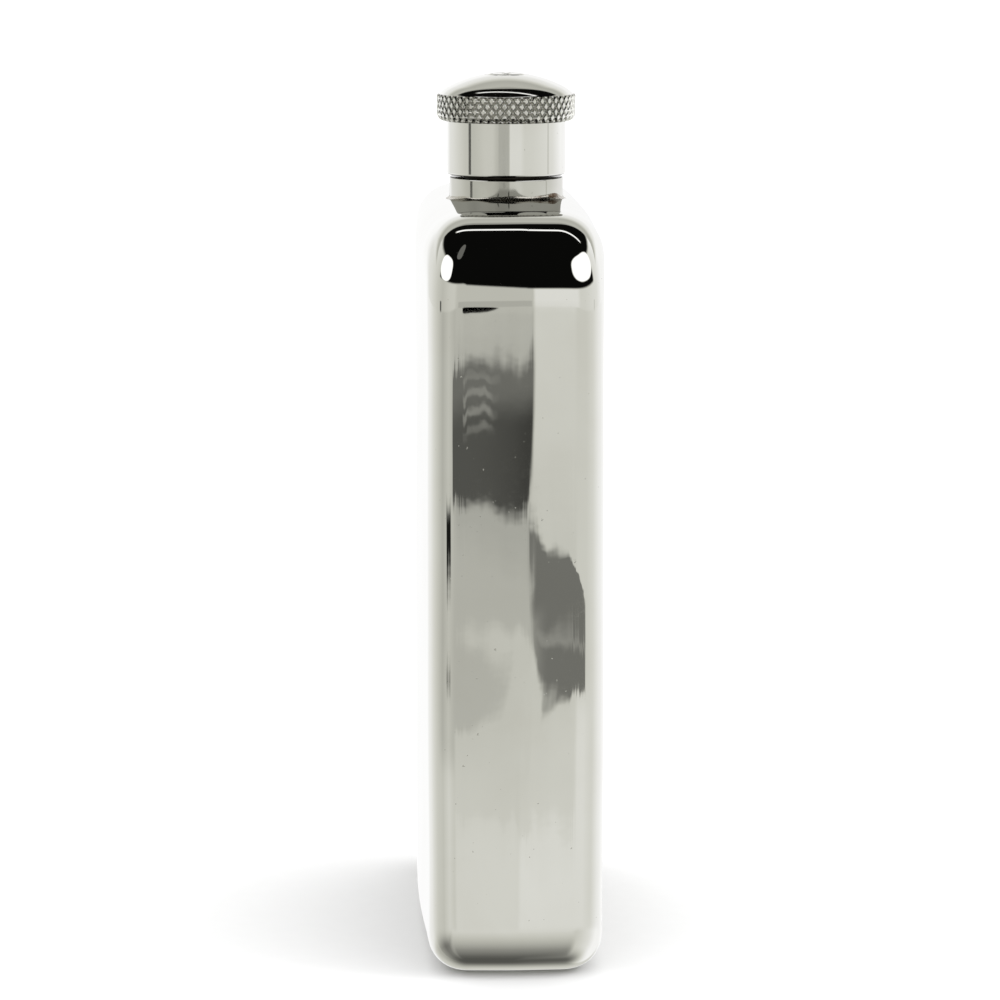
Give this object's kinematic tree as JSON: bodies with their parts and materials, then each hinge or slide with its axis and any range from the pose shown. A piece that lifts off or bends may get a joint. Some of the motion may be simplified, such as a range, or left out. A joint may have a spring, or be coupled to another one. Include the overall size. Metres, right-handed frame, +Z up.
{
  "type": "hip flask",
  "caption": "Slim rectangular metal pocket flask with rounded edges, a threaded spout in a short collar, and a domed screw cap with a knurled band.",
  "frame": {"origin": "middle of the base, on the surface that the flask stands on", "axes": "+Z up through the spout, +X along the broad faces, +Y through the thickness; the front shell faces -Y"},
  "size_m": [0.08, 0.0274, 0.1295],
  "materials": {
    "body_plate": "polished",
    "cap_plate": "polished",
    "knurl_plate": "polished",
    "spout_plate": "gloss",
    "solder": "satin",
    "bare_brass": "satin",
    "cork": "matte"
  },
  "bodies": {
    "flask": {"front_shell": "body_plate", "back_shell": "body_plate", "seam_solder": "solder", "spout_tube": "spout_plate", "neck_collar": "cap_plate", "collar_solder": "solder"},
    "seal": {"seal_disc": "cork"},
    "cap": {"cap_skirt": "cap_plate", "thread_sleeve": "bare_brass", "knurled_band": "knurl_plate", "cap_dome": "cap_plate", "backing_disc": "bare_brass"}
  },
  "joints": [
    {"name": "cap_lift", "type": "slide", "parent": "flask", "child": "seal", "axis": [0, 0, 1], "range_m": [0, 0.02]},
    {"name": "cap_turn", "type": "hinge", "parent": "seal", "child": "cap", "pos_m": [0, 0, 0.1143], "axis": [0, 0, 1], "range_deg": [0, 2880]}
  ],
  "couplings": [
    {"joint": "cap_lift", "follows": "cap_turn", "m_per_rad": 0.00039789}
  ]
}
